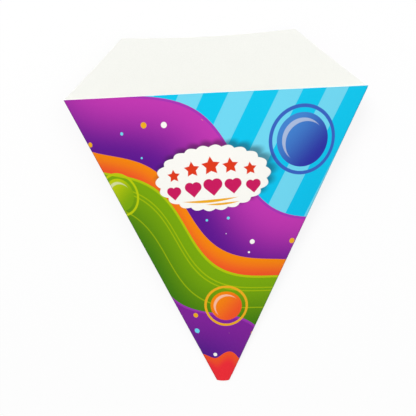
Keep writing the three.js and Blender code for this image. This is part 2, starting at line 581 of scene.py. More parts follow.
class FlatSheet:
    """The blank as a closed mesh, lying flat, with what the fold needs written on each vertex."""

    CREASE_BAND = 1.3
    EDGE_BEVEL = 0.12
    EDGE_LAYER = 0.45
    SLACK_REACH = 18.0
    CLIMB_MARGIN = 1.0
    FIELDS = ("blank_angle", "blank_reach", "side", "layer", "roll", "lift", "slack")

    def __init__(self, sizes: BlankSizes, cone: BowedCone, weave: Weave) -> None:
        """Lays out the columns and rows of the sheet.

        Args:
            sizes: Sizes of the blank.
            cone: The cone that its panels bow out to.
            weave: How finely it is divided.
        """
        self.sizes = sizes
        self.weave = weave
        self.mitre = sizes.skin / math.tan(cone.crease_slope)
        self.flat: list[Vector] = []
        self.fields: dict[str, list[float]] = {name: [] for name in self.FIELDS}
        self.faces: list[list[int]] = []
        self.kinds: list[Surface] = []
        self.shares = self._shares()
        self.flap_rows = (weave.end_rows, weave.end_rows + weave.rows)

    def _shares(self) -> list[float]:
        """Divides the columns, with rows at both ends of the flap.

        Returns:
            How far along a column each row lies, from 0 to 1.
        """
        sizes = self.sizes
        start = sizes.tip_cut / math.cos(sizes.half)
        end = sizes.front_height / math.cos(sizes.half)
        flap_start = (sizes.flap_start - start) / (end - start)
        flap_end = 1 - sizes.flap_mouth_setback / (end - start)
        steps, rows = self.weave.end_rows, self.weave.rows
        shares = [flap_start * step / steps for step in range(steps)]
        shares += [flap_start + (flap_end - flap_start) * step / rows for step in range(rows + 1)]
        return shares + [1.0]

    def vertex(self, column: Column, point: Vector, layer: float) -> int:
        """Adds a vertex of the sheet.

        Args:
            column: The column that it belongs to.
            point: Its place on its own panel.
            layer: Its place through the card, from -1 inside to 1 outside.

        Returns:
            The vertex's number.
        """
        sizes = self.sizes
        angle, reach = Outline.angle_of(point), point.length
        blank_angle = angle
        if column.flap:
            blank_angle = 2 * sizes.half - angle
        elif column.side == Side.BACK:
            blank_angle = -2 * sizes.half - angle
        across, up = reach * math.sin(blank_angle), reach * math.cos(blank_angle)
        self.flat.append(Vector((across, up, layer * sizes.skin)))
        values = (angle, reach, float(column.side), layer, column.roll, self.lift(column, angle),
                  self.slack(column, angle, reach))
        for name, value in zip(self.FIELDS, values):
            self.fields[name].append(value)
        return len(self.flat) - 1

    def slack(self, column: Column, angle: float, reach: float) -> float:
        """Finds how free the card is to wave: not at all at a crease or where it is glued.

        Args:
            column: The column that the place belongs to.
            angle: Its angle from the panel's middle.
            reach: Its distance from the point where the creases meet.

        Returns:
            The share of the waves that it takes, from 0 to 1.
        """
        held = self.sizes.half
        if column.side == Side.BACK and angle > 0:
            held -= math.radians(self.sizes.flap_angle)
        if column.flap or abs(angle) > held:
            return 0.0
        return eased(reach * math.sin(held - abs(angle)) / self.SLACK_REACH)

    def lift(self, column: Column, angle: float) -> float:
        """Finds how far the back panel climbs to lie over the glue flap.

        Args:
            column: The column that the place belongs to.
            angle: Its angle from the panel's middle.

        Returns:
            The climb, in millimetres.
        """
        if column.flap or column.side == Side.FRONT:
            return 0.0
        sizes = self.sizes
        full = sizes.half - math.radians(sizes.flap_angle + self.CLIMB_MARGIN)
        start = full - math.radians(sizes.climb_angle)
        return (sizes.thickness + sizes.glue_gap) * eased((angle - start) / (full - start))

    def face(self, kind: Surface, *corners: int) -> None:
        """Adds a face, leaving out corners that fall together.

        Args:
            kind: The kind of surface.
            corners: The vertices, in order as seen from outside.
        """
        kept = [corner for index, corner in enumerate(corners) if corner != corners[index - 1]]
        if len(kept) > 2:
            self.faces.append(kept)
            self.kinds.append(kind)

    def far_rim(self, upper: Sequence[int], lower: Sequence[int]) -> None:
        """Closes an end that faces the mouth, between two chains of vertices."""
        for index in range(len(upper) - 1):
            self.face(Surface.CUT, upper[index + 1], upper[index], lower[index], lower[index + 1])

    def near_rim(self, upper: Sequence[int], lower: Sequence[int]) -> None:
        """Closes an end that faces the tip, between two chains of vertices."""
        for index in range(len(upper) - 1):
            self.face(Surface.CUT, upper[index], upper[index + 1], lower[index + 1], lower[index])

    def _band(self, corner: Vector, along_edge: Vector, crease: Vector) -> list[Vector]:
        """Returns the points of an edge beside a crease: on it, at the mitre and past it."""
        distances = (0.0, self.mitre, self.CREASE_BAND)
        return [beside_crease(corner, along_edge, crease, distance) for distance in distances]

    def front_columns(self) -> list[Column]:
        """Lays out the front panel.

        Returns:
            Its columns, from the right crease to the left one.
        """
        sizes = self.sizes
        crease = Vector((math.sin(sizes.half), math.cos(sizes.half)))
        left = Vector((-1.0, 0.0))
        near = self._band(Vector((sizes.tip_width / 2, sizes.tip_cut)), left, crease)
        far = self._band(Vector((sizes.mouth_half, sizes.front_height)), left, crease)
        steps = self.weave.front_columns
        for edge in (near, far):
            start, end = edge[2], mirrored(edge[2])
            edge.extend(start.lerp(end, step / steps) for step in range(1, steps + 1))
            edge.extend((mirrored(edge[1]), mirrored(edge[0])))
        columns = [Column(Side.FRONT, start, end) for start, end in zip(near, far)]
        columns[-1].mitred = columns[-2].mitred = True
        return columns

    def tongue_outline(self) -> Outline:
        """Draws the tongue with its two cut-off corners.

        Returns:
            The back panel's far edge, left to right.
        """
        sizes = self.sizes
        inset = sizes.edge_inset / math.cos(sizes.half)
        left = Vector((-sizes.mouth_half, sizes.front_height))
        right = Vector((sizes.mouth_half - inset, sizes.front_height))
        top_left = Vector((sizes.tongue_shift - sizes.tongue_top_width / 2, sizes.back_height))
        top_right = Vector((sizes.tongue_shift + sizes.tongue_top_width / 2, sizes.back_height))
        radius, steps = sizes.corner_radius, self.weave.corner_steps
        first = rounded(left, top_left, top_right, radius, steps)
        second = rounded(top_left, top_right, right, radius, steps)
        return Outline([left, *first, *second, right])

    def back_columns(self) -> list[Column]:
        """Lays out the back panel, with a column at each corner of its far edge.

        Returns:
            Its columns, from the left crease to its free edge at the right.
        """
        sizes = self.sizes
        outline = self.tongue_outline()
        left, right = outline.points[0], outline.points[-1]
        crease = Vector((-math.sin(sizes.half), math.cos(sizes.half)))
        tip_left = Vector((-sizes.tip_width / 2, sizes.tip_cut))
        tip_right = Vector((sizes.tip_width / 2 - sizes.edge_inset / math.cos(sizes.half), sizes.tip_cut))
        near = self._band(tip_left, Vector((1.0, 0.0)), crease)
        far = self._band(left, outline.points[1] - left, crease)
        first, last = Outline.angle_of(far[2]), Outline.angle_of(right)
        corners = [Outline.angle_of(point) for point in outline.points[1:-1]]
        step = (last - first) / self.weave.back_columns
        even = [first + step * index for index in range(1, self.weave.back_columns)]
        snap = step * self.weave.corner_snap
        kept = [angle for angle in even if all(abs(angle - corner) > snap for corner in corners)]
        for angle in sorted(corners + kept):
            far.append(outline.at_angle(angle))
            near.append(near[2].lerp(tip_right, (angle - first) / (last - first)))
        far.append(right)
        near.append(tip_right)
        columns = [Column(Side.BACK, start, end) for start, end in zip(near, far)]
        columns[0].mitred = columns[1].mitred = True
        return columns

    def flap_columns(self, front: Sequence[Column]) -> list[Column]:
        """Lays out the glue flap, whose ends lie on two rows of the front panel's right edge.

        Args:
            front: The front panel's columns, of which the first lies on the right crease.

        Returns:
            Its columns, from its free edge to the right crease.
        """
        sizes = self.sizes
        first, last = (self.shares[row] for row in self.flap_rows)
        free = sizes.half - math.radians(sizes.flap_angle)
        direction = Vector((math.sin(free), math.cos(free)))
        crease_end = sizes.front_height / math.cos(sizes.half) - sizes.flap_mouth_setback
        free_near = direction * (sizes.flap_start + sizes.flap_start_taper)
        free_far = direction * (crease_end - sizes.flap_mouth_taper)
        spine, band = (
            [column.near.lerp(column.far, share) for share in (first, last)] for column in front[:2])
        columns = []
        for step in range(self.weave.flap_columns):
            share = step / self.weave.flap_columns
            near, far = free_near.lerp(band[0], share), free_far.lerp(band[1], share)
            columns.append(Column(Side.BACK, near, far, flap=True))
        for near, far in (band, spine):
            columns.append(Column(Side.BACK, near, far, flap=True, mitred=True))
        return columns

    def fan(self, column: Column, sense: int, rising: bool) -> list[Column]:
        """Returns columns that carry the outside of the card round a crease.

        Args:
            column: The front panel's column on that crease.
            sense: 1 at the right crease and -1 at the left one.
            rising: Whether the fan starts at the front panel.

        Returns:
            The columns between the two panels.
        """
        steps = self.weave.fan_steps
        rolls = [sense * step / steps for step in range(1, steps)]
        if not rising:
            rolls.reverse()
        return [Column(Side.FRONT, column.near, column.far, roll=roll, mitred=True) for roll in rolls]

    def bevelled(self, column: Column, share: float) -> Vector:
        """Returns a column's point at a share of its length, held back a little from both ends."""
        way = (column.far - column.near).normalized() * self.EDGE_BEVEL
        return (column.near + way).lerp(column.far - way, share)

    def lengthwise(self, column: Column, layer: float) -> list[int]:
        """Adds the vertices of a column, one for each row, and returns their numbers."""
        return [self.vertex(column, self.bevelled(column, share), layer) for share in self.shares]

    def build(self) -> bpy.types.Mesh:
        """Makes the closed mesh of the flat blank.

        Returns:
            The mesh, with the fold's fields, the surface kinds and the blank's own UV map.
        """
        front = self.front_columns()
        main = front + self.fan(front[-1], -1, True) + self.back_columns()
        rows = len(self.shares)
        outer = [self.lengthwise(column, 1.0) for column in main]
        inner = self._one_mitre(main, lambda column: self.lengthwise(column, -1.0))
        self._skin(Surface.PRINTED, outer, rows)
        self._skin(Surface.BARE, inner[1:], rows)
        tip, mouth = (self._end_chains(main, outer, inner, row) for row in (0, rows - 1))
        for upper, lower in zip(tip, tip[1:]):
            self.near_rim(upper, lower)
        for upper, lower in zip(mouth, mouth[1:]):
            self.far_rim(upper, lower)
        for row in range(rows - 1):
            self.face(Surface.CUT, outer[-1][row], outer[-1][row + 1], inner[-1][row + 1], inner[-1][row])
        self.face(Surface.CUT, *[chain[-1] for chain in mouth])
        self.face(Surface.CUT, *[chain[-1] for chain in reversed(tip)])
        self.face(Surface.CUT, *[chain[0] for chain in reversed(mouth)])
        self.face(Surface.CUT, *[chain[0] for chain in tip])
        self._add_flap(front, outer, inner)
        return self._mesh()

    @staticmethod
    def _one_mitre(columns: Sequence[Column], make: Callable[[Column], Any]) -> list:
        """Makes something for each column, but only one thing for all that end on the mitre line.

        Args:
            columns: The columns, in order.
            make: Makes the thing for a column.

        Returns:
            One entry for each column.
        """
        made: list = []
        mitre = None
        for column in columns:
            if column.mitred and mitre is not None:
                made.append(mitre)
                continue
            made.append(make(column))
            if column.mitred:
                mitre = made[-1]
        return made

    def _end_chains(self, columns: Sequence[Column], outer: list, inner: list, row: int) -> list[list[int]]:
        """Adds the two edge chains of a cut end.

        Args:
            columns: The columns, in order.
            outer: Vertices of the outside, by column and row.
            inner: Vertices of the inside.
            row: The first row or the last one.

        Returns:
            The end's four chains, from outside to inside.
        """
        at_tip = row == 0
        edge_out = [self.vertex(column, column.end(at_tip), self.EDGE_LAYER) for column in columns]
        edge_in = self._one_mitre(
            columns, lambda column: self.vertex(column, column.end(at_tip), -self.EDGE_LAYER))
        return [[grid[row] for grid in outer], edge_out, edge_in, [grid[row] for grid in inner]]

    def _skin(self, kind: Surface, grid: list, rows: int) -> None:
        """Adds a skin over neighbouring columns.

        Args:
            kind: The kind of surface. The printed one faces the other way from the bare one.
            grid: Its vertices, by column and row.
            rows: How many rows it has.
        """
        for near, far in zip(grid, grid[1:]):
            for row in range(rows - 1):
                ring = (near[row], near[row + 1], far[row + 1], far[row])
                self.face(kind, *(ring if kind == Surface.PRINTED else reversed(ring)))

    def _add_flap(self, front: Sequence[Column], outer: list, inner: list) -> None:
        """Joins the glue flap to the right crease, and closes the crease above and below it.

        Args:
            front: The front panel's columns.
            outer: Vertices of the outside, by column and row.
            inner: Vertices of the inside.
        """
        first, last = self.flap_rows
        flap = self.flap_columns(front)
        count = last - first + 1
        shares = [step / (last - first) for step in range(count)]
        top: list[list[int]] = []
        for column in flap + self.fan(front[0], 1, False):
            if column.flap:
                places = [column.near.lerp(column.far, share) for share in shares]
            else:
                places = [self.bevelled(column, self.shares[row]) for row in range(first, last + 1)]
            top.append([self.vertex(column, place, 1.0) for place in places])
        top.append(outer[0][first:last + 1])
        under = [[self.vertex(column, column.near.lerp(column.far, share), -1.0) for share in shares]
                 for column in flap if not column.mitred]
        floor = [*under, inner[1][first:last + 1]]
        self._skin(Surface.PRINTED, top, count)
        self._skin(Surface.BARE, floor, count)
        for row in range(count - 1):
            self.face(Surface.CUT, top[0][row + 1], top[0][row], under[0][row], under[0][row + 1])
        for index, close in ((0, self.near_rim), (-1, self.far_rim)):
            row = self.flap_rows[index]
            rest = len(top) - len(floor)
            lower = [chain[index] for chain in floor] + [inner[0][row]] * rest
            close([chain[index] for chain in top], lower)
        for row in [*range(first), *range(last, len(self.shares) - 1)]:
            self.face(Surface.BARE, inner[1][row], inner[1][row + 1], inner[0][row + 1], inner[0][row])
            self.face(Surface.CUT, outer[0][row + 1], outer[0][row], inner[0][row], inner[0][row + 1])

    def _mesh(self) -> bpy.types.Mesh:
        """Writes the vertices, faces, fields and UV map.

        Returns:
            The mesh.
        """
        mesh = bpy.data.meshes.new("flat_sheet")
        used = sorted({corner for face in self.faces for corner in face})
        place = {old: new for new, old in enumerate(used)}
        mesh.from_pydata([self.flat[old] * MM for old in used], [],
                         [[place[corner] for corner in face] for face in self.faces])
        for name, values in self.fields.items():
            attribute = mesh.attributes.new(name, "FLOAT", "POINT")
            attribute.data.foreach_set("value", [values[old] for old in used])
        surface = mesh.attributes.new("surface", "INT", "FACE")
        surface.data.foreach_set("value", [int(kind) for kind in self.kinds])
        blank = mesh.uv_layers.new(name="Blank")
        for loop in mesh.loops:
            point = self.flat[used[loop.vertex_index]]
            blank.data[loop.index].uv = (point.x / UV_SPAN, point.y / UV_SPAN)
        return mesh


@dataclass(frozen=True)
class Waviness:
    """The slight unevenness of a hand-folded card."""

    height: float = 0.35
    spacing: float = 46.0
    seed: float = 7.0


class FoldTree:
    """Geometry nodes that bow, fold and lay down the flat sheet."""

    INPUTS = ("Half Thickness", "Opening", "Turn", "Tilt", "Crease Swing", "Lean", "Wave Height",
              "Wave Spacing", "Wave Seed")

    def __init__(self, materials: Sequence[bpy.types.Material]) -> None:
        """Builds the tree.

        Args:
            materials: One material for each kind of surface.
        """
        self.tree = bpy.data.node_groups.new("fold_card", "GeometryNodeTree")
        interface = self.tree.interface
        interface.new_socket("Geometry", in_out="INPUT", socket_type="NodeSocketGeometry")
        for name in self.INPUTS:
            interface.new_socket(name, in_out="INPUT", socket_type="NodeSocketFloat")
        interface.new_socket("Geometry", in_out="OUTPUT", socket_type="NodeSocketGeometry")
        self.graph = Graph(self.tree)
        self._wire(materials)

    def _field(self, name: str) -> Wire:
        """Returns one of the sheet's fields."""
        node = self.graph.node("GeometryNodeInputNamedAttribute", {"data_type": "FLOAT"}, {"Name": name})
        return self.graph.wire(node, 0)

    def _wire(self, materials: Sequence[bpy.types.Material]) -> None:
        """Adds the nodes.

        Args:
            materials: One material for each kind of surface.
        """
        graph = self.graph
        start = graph.node("NodeGroupInput")
        half, opening, turn, tilt, swing, lean, height, spacing, seed = (
            graph.wire(start, name) for name in self.INPUTS)
        side = self._field("side")
        around = self._field("blank_angle") * turn
        sine, cosine = graph.maths("SINE", around), graph.maths("COSINE", around)
        level, rise = graph.maths("SINE", opening), graph.maths("COSINE", opening)
        mirror = graph.join(1.0, 1.0, side * -1.0)
        ray = self._turned(graph.join(level * sine, level * cosine, rise), -tilt) * mirror
        outward = self._turned(graph.join(rise * sine, rise * cosine, level * -1.0), -tilt) * mirror
        spoke = self._about(outward, ray, self._field("roll") * swing)
        ripple = self._ripple(spacing, seed) * height * self._field("slack")
        through = self._field("lift") * MM + self._field("layer") * half + ripple * side
        place = ray * (self._field("blank_reach") * MM) + spoke * through
        folded = graph.node("GeometryNodeSetPosition", values={
            "Geometry": graph.wire(start, "Geometry"), "Position": self._turned(place, lean)})
        shaded = graph.node("GeometryNodeSetShadeSmooth", {"domain": "FACE"},
                            {"Geometry": graph.wire(folded)})
        real = graph.node("GeometryNodeRealizeInstances", values={"Geometry": graph.wire(shaded)})
        shape = graph.wire(real)
        kind = graph.node("GeometryNodeInputNamedAttribute", {"data_type": "INT"}, {"Name": "surface"})
        for surface, material in zip(Surface, materials):
            same = graph.node("FunctionNodeCompare", {"data_type": "INT", "operation": "EQUAL"},
                              {"A_INT": graph.wire(kind, 0), "B_INT": int(surface)})
            shape = graph.wire(graph.node("GeometryNodeSetMaterial", values={
                "Geometry": shape, "Selection": graph.wire(same), "Material": material}))
        graph.node("NodeGroupOutput", values={"Geometry": shape})

    def _turned(self, vector: Wire, angle: Wire) -> Wire:
        """Turns a vector about X.

        Args:
            vector: The vector.
            angle: How far it turns.

        Returns:
            The turned vector.
        """
        node = self.graph.node("ShaderNodeVectorRotate", {"rotation_type": "X_AXIS"},
                               {"Vector": vector, "Angle": angle})
        return self.graph.wire(node)

    def _about(self, vector: Wire, axis: Wire, angle: Wire) -> Wire:
        """Turns a vector about an axis.

        Args:
            vector: The vector.
            axis: The axis.
            angle: How far it turns.

        Returns:
            The turned vector.
        """
        node = self.graph.node("ShaderNodeVectorRotate", {"rotation_type": "AXIS_ANGLE"},
                               {"Vector": vector, "Axis": axis, "Angle": angle})
        return self.graph.wire(node)

    def _ripple(self, spacing: Wire, seed: Wire) -> Wire:
        """Makes soft waves over the flat blank.

        Args:
            spacing: Length of the waves.
            seed: Picks the pattern.

        Returns:
            The waves, about zero on average.
        """
        graph = self.graph
        flat = graph.node("GeometryNodeInputPosition")
        x, y, _ = graph.split(graph.wire(flat))
        node = graph.node("ShaderNodeTexNoise", {"noise_dimensions": "3D"},
                          {"Vector": graph.join(x / spacing, y / spacing, seed), "Scale": 1.0, "Detail": 0.0})
        return graph.wire(node) - 0.5

    def apply(self, sheet: bpy.types.Object, values: dict[str, float]) -> bpy.types.Mesh:
        """Folds the sheet.

        Args:
            sheet: The flat sheet's object.
            values: A value for each named input.

        Returns:
            The folded mesh, with nothing live on it.
        """
        modifier = sheet.modifiers.new("fold", "NODES")
        modifier.node_group = self.tree
        for item in self.tree.interface.items_tree:
            if item.in_out == "INPUT" and item.name in values:
                modifier[item.identifier] = values[item.name]
        graph = bpy.context.evaluated_depsgraph_get()
        mesh = bpy.data.meshes.new_from_object(sheet.evaluated_get(graph), preserve_all_data_layers=True,
                                               depsgraph=graph)
        sheet.modifiers.remove(modifier)
        return mesh


@dataclass(frozen=True)
class Wave:
    """A wavy line across the print: its place on the slope, its swing, its length and its phase."""

    place: float
    swing: float
    length: float
    phase: float


@dataclass(frozen=True)
class Ribbon:
    """A field of the print that lies below a wave, shaded from its edge inward."""

    edge: Wave
    light: Ink
    dark: Ink
    depth: float
    rim: Ink | None = None
    lines: tuple[float, ...] = ()
    confetti: bool = False


@dataclass(frozen=True)
class Disc:
    """A shaded disc of the print, with a ring round it. Its lean turns its shading and crescent."""

    x: float
    y: float
    radius: float
    light: Ink
    dark: Ink
    ring: Ink
    ring_gap: float
    ring_width: float
    lean: float = 0.0


@dataclass(frozen=True)
class Plaque:
    """The white scalloped oval in the middle of the front panel, and its printed shadow."""

    x: float = -1.0
    y: float = 109.0
    half_width: float = 24.6
    half_height: float = 13.9
    lean: float = math.radians(4)
    distance_scale: float = 18.0
    scallops: int = 22
    scallop_depth: float = 1.25
    evenness: float = 0.13
    shadow_shift: tuple[float, float] = (1.7, 1.5)
    shadow_soft: float = 2.6
    shadow_strength: float = 0.62


@dataclass(frozen=True)
class MotifRow:
    """A row of like motifs, each smaller by the shrink than the one before it from the middle out.

    The row bows down by the drop times the square of a motif's place from the middle.
    """

    height: float
    pitch: float
    each_side: int
    size: float
    shrink: float
    drop: float


@dataclass(frozen=True)
class Stroke:
    """A tapered brush stroke: its middle, half length, half thickness and bend."""

    x: float
    y: float
    half_length: float
    half_width: float
    bend: float


RIBBONS = (
    Ribbon(Wave(101.0, 9.0, 104.0, 0.4), Ink.MAGENTA, Ink.PLUM, 30.0, Ink.ORCHID, confetti=True),
    Ribbon(Wave(70.0, 7.0, 88.0, 1.5), Ink.ORANGE, Ink.ORANGE_RED, 9.0),
    Ribbon(Wave(62.5, 7.5, 88.0, 1.2), Ink.LEAF, Ink.FOREST, 34.0, Ink.LIME, lines=(6.5, 8.2, 17.5)),
    Ribbon(Wave(33.0, 6.0, 70.0, 2.6), Ink.PURPLE, Ink.VIOLET, 34.0, Ink.ORCHID, confetti=True),
    Ribbon(Wave(-8.0, 6.0, 92.0, 0.8), Ink.AMBER, Ink.ORANGE, 8.0),
    Ribbon(Wave(-15.0, 6.5, 92.0, 0.5), Ink.SKY, Ink.INDIGO, 26.0, Ink.TEAL, lines=(6.0, 7.6, 14.0)),
    Ribbon(Wave(-38.0, 7.0, 76.0, 2.0), Ink.MAGENTA, Ink.PURPLE, 30.0, Ink.ORCHID, confetti=True),
)

BACK_LEAN = math.radians(BlankSizes.crease_angle)

DISCS = (
    Disc(40.0, 124.0, 12.0, Ink.SKY, Ink.INDIGO, Ink.BLUE, 2.0, 1.6),
    Disc(-47.0, 101.0, 8.0, Ink.LIME, Ink.LEAF, Ink.LIME, 1.6, 1.1),
    Disc(3.0, 47.0, 7.5, Ink.ORANGE, Ink.ORANGE_RED, Ink.AMBER, 1.8, 1.2),
    Disc(-96.0, 118.0, 10.0, Ink.LIME, Ink.LEAF, Ink.LIME, 1.8, 1.3, BACK_LEAN),
    Disc(-104.0, 66.0, 12.0, Ink.ORCHID, Ink.VIOLET, Ink.MAGENTA, 2.0, 1.5, BACK_LEAN),
    Disc(-142.0, 66.0, 9.0, Ink.PALE_CYAN, Ink.CYAN, Ink.TEAL, 1.8, 1.3, BACK_LEAN),
)

STARS = MotifRow(height=5.6, pitch=8.6, each_side=2, size=5.0, shrink=0.75, drop=0.75)
HEARTS = MotifRow(height=-4.4, pitch=9.0, each_side=2, size=5.0, shrink=0.55, drop=0.35)
STROKES = (Stroke(-2.0, -10.2, 12.5, 0.65, 0.004), Stroke(3.5, -12.0, 7.5, 0.5, 0.006))


class Print:
    """Draws the print's colour in the flat measure of the blank.

    Lengths are in millimetres. A pair of numbers says where a ramp starts and where it ends.
    """

    SLOPE = math.radians(-35)
    STRIPE = 19.0
    STRIPE_SLOPE = math.radians(62)
    AQUA_RANGE = (40.0, 150.0)
    SOFT = 0.12
    RIM = 0.55
    RIM_STRENGTH = 0.8
    LINE_STRENGTH = 0.55
    DOT_SPACING = 9.5
    DOT_PHASE = 29.0
    DOT_GROWTH = 3.0
    DOT_LOSS = 1.5
    DOT_SCATTER = 0.8
    DOT_CLEARANCE = 2.0
    DOT_MARGIN = 3 * RIM
    COOL_FROM = 0.55
    WHITE_FROM = 0.72
    DISC_SHADE = (1.2, -1.3)
    CRESCENT_REACH = 0.8
    CRESCENT_SHIFT = 0.13
    CRESCENT_STRENGTH = 0.38
    TIP_REACH = 21.0
    TIP_WAVES = 9.0
    TIP_SWING = 1.8
    TIP_FADE = 7.0
    STAR_WAIST = 0.52
    STAR_REACH = 0.86
    CREASE_SHADE_REACH = (0.55, 0.1)
    CREASE_SHADE_STRENGTH = 0.3
    CRACK_REACH = (0.25, 0.05)
    CRACK_GRAIN = (0.56, 0.66)
    CRACK_STRENGTH = 0.6

    def __init__(self, graph: Graph) -> None:
        """Reads where on the blank a point lies, in millimetres.

        Args:
            graph: The material's graph.
        """
        self.graph = graph
        blank = graph.node("ShaderNodeUVMap", {"uv_map": "Blank"})
        u, v, _ = graph.split(graph.wire(blank))
        self.x = u * UV_SPAN
        self.y = v * UV_SPAN
        self.colour: Value = Ink.CYAN
        self.dots, self.dot_colour = self.confetti()

    def turned(self, x: Value, y: Value, angle: float) -> tuple[Wire, Wire]:
        """Returns coordinates along and across a direction at an angle from X."""
        cosine, sine = math.cos(angle), math.sin(angle)
        return x * cosine + y * sine, y * cosine - x * sine

    def inside(self, distance: Wire, soft: float = SOFT) -> Wire:
        """Returns 1 where a distance is below zero and 0 above it, with a narrow soft edge."""
        return self.graph.ramp(distance, soft, -soft, smooth=False)

    def lay(self, colour: Value, share: Wire) -> None:
        """Lays a colour over what is there.

        Args:
            colour: The colour.
            share: Where it covers, from 0 to 1.
        """
        self.colour = self.graph.blend(self.colour, colour, share)

    def above(self, wave: Wave) -> Wire:
        """Measures from a wavy line.

        Args:
            wave: The line.

        Returns:
            The distance above it, below zero under it.
        """
        along, across = self.turned(self.x, self.y, self.SLOPE)
        swing = self.graph.maths("SINE", along * (2 * math.pi / wave.length) + wave.phase) * wave.swing
        steepness = 2 * math.pi * wave.swing / wave.length
        return (across - wave.place - swing) * (1 / math.sqrt(1 + steepness * steepness / 2))

    def stripes(self) -> None:
        """Draws pale stripes on the cyan ground."""
        _, across = self.turned(self.x, self.y, self.STRIPE_SLOPE)
        phase = self.graph.maths("PINGPONG", across, self.STRIPE / 2)
        fade = self.graph.ramp(self.y, *self.AQUA_RANGE)
        ground = self.graph.blend(Ink.CYAN, Ink.AQUA, fade)
        self.colour = self.graph.blend(ground, Ink.PALE_CYAN, self.inside(phase - self.STRIPE / 4))

    def ribbon(self, ribbon: Ribbon) -> None:
        """Draws one ribbon over everything below its wave.

        Args:
            ribbon: The ribbon.
        """
        height = self.above(ribbon.edge)
        shade = self.graph.ramp(height, 0.0, -ribbon.depth)
        colour = self.graph.blend(ribbon.light, ribbon.dark, shade)
        self.lay(colour, self.inside(height))
        for depth in ribbon.lines:
            line = self.inside(abs(height + depth) - self.RIM / 2)
            self.lay(ribbon.rim, line * self.LINE_STRENGTH)
        if ribbon.confetti:
            self.lay(self.dot_colour, self.dots * self.inside(height + self.DOT_MARGIN))
        if ribbon.rim is not None:
            rim = self.inside(abs(height + self.RIM) - self.RIM)
            self.lay(ribbon.rim, rim * self.RIM_STRENGTH)

    def confetti(self) -> tuple[Wire, Wire]:
        """Scatters small dots of three colours, and leaves out those that would touch a disc.

        Returns:
            The share of each place that a dot covers, and the dots' colour.
        """
        graph = self.graph
        across, up = self.x * (1 / self.DOT_SPACING), self.y * (1 / self.DOT_SPACING)
        place = graph.join(across + self.DOT_PHASE, up + self.DOT_PHASE)
        cells = graph.node("ShaderNodeTexVoronoi", {"voronoi_dimensions": "2D", "feature": "F1"},
                           {"Vector": place, "Scale": 1.0, "Randomness": self.DOT_SCATTER})
        chance, pick, kind = graph.split(graph.wire(cells, "Color"))
        distance = graph.wire(cells, "Distance") * self.DOT_SPACING
        dots = self.inside(distance - chance * self.DOT_GROWTH + self.DOT_LOSS)
        middle_x, middle_y, _ = graph.split(graph.wire(cells, "Position"))
        x = (middle_x - self.DOT_PHASE) * self.DOT_SPACING
        y = (middle_y - self.DOT_PHASE) * self.DOT_SPACING
        for disc in DISCS:
            clear = disc.radius + disc.ring_gap + disc.ring_width + self.DOT_CLEARANCE
            dots = dots * graph.maths("GREATER_THAN", graph.length(x - disc.x, y - disc.y), clear)
        cool = graph.maths("GREATER_THAN", pick, self.COOL_FROM)
        white = graph.maths("GREATER_THAN", kind, self.WHITE_FROM)
        return dots, graph.blend(graph.blend(Ink.AMBER, Ink.PALE_CYAN, cool), Ink.WHITE, white)

    def disc(self, disc: Disc) -> None:
        """Draws a shaded disc, the pale crescent at its upper left and the ring round it.

        Args:
            disc: The disc.
        """
        x, y = self.turned(self.x - disc.x, self.y - disc.y, disc.lean)
        distance = self.graph.length(x, y)
        shade = self.graph.ramp((y - x) * (1 / disc.radius), *self.DISC_SHADE)
        colour = self.graph.blend(disc.light, disc.dark, shade)
        self.lay(colour, self.inside(distance - disc.radius))
        reach, shift = disc.radius * self.CRESCENT_REACH, disc.radius * self.CRESCENT_SHIFT
        hollow = self.inside(reach - self.graph.length(x - shift, y + shift))
        crescent = self.inside(distance - reach) * hollow
        self.lay(Ink.WHITE, crescent * self.CRESCENT_STRENGTH)
        middle = disc.radius + disc.ring_gap + disc.ring_width / 2
        self.lay(disc.ring, self.inside(abs(distance - middle) - disc.ring_width / 2))

    def tip(self) -> None:
        """Draws the coral end with its scalloped edge."""
        reach = self.graph.length(self.x, self.y)
        angle = self.graph.maths("ARCTAN2", self.x, self.y)
        wave = self.graph.maths("SINE", angle * self.TIP_WAVES) * self.TIP_SWING
        edge = reach - self.TIP_REACH - wave
        colour = self.graph.blend(Ink.ORANGE_RED, Ink.CORAL, self.graph.ramp(edge, 0.0, -self.TIP_FADE))
        self.lay(colour, self.inside(edge))

    def oval(self, x: Wire, y: Wire, plaque: Plaque) -> Wire:
        """Returns the distance outside the plaque's scalloped outline.

        Args:
            x: Place across the plaque.
            y: Place up the plaque.
            plaque: Its sizes.

        Returns:
            The distance, below zero inside.
        """
        across, up = x * (1 / plaque.half_width), y * (1 / plaque.half_height)
        angle = self.graph.maths("ARCTAN2", up, across)
        even = angle - self.graph.maths("SINE", angle * 2.0) * plaque.evenness
        scallop = abs(self.graph.maths("COSINE", even * (plaque.scallops / 2)))
        return (self.graph.length(across, up) - 1.0) * plaque.distance_scale - scallop * plaque.scallop_depth

    def plaque(self, plaque: Plaque) -> None:
        """Draws the white plaque over its soft shadow, with its ornament.

        Args:
            plaque: Its sizes.
        """
        x, y = self.turned(self.x - plaque.x, self.y - plaque.y, plaque.lean)
        shift_x, shift_y = plaque.shadow_shift
        shadow = self.oval(x - shift_x, y - shift_y, plaque)
        dark = self.graph.ramp(shadow, plaque.shadow_soft, -plaque.shadow_soft / 2) * plaque.shadow_strength
        self.lay(Ink.SHADE, dark)
        self.lay(Ink.WHITE, self.inside(self.oval(x, y, plaque)))
        self.lay(Ink.VERMILION, self.inside(self.star(*self.in_row(x, y, STARS))))
        self.lay(Ink.CRIMSON, self.inside(self.heart(*self.in_row(x, y, HEARTS))))
        for stroke in STROKES:
            self.lay(Ink.AMBER, self.inside(self.stroke(x, y, stroke)))

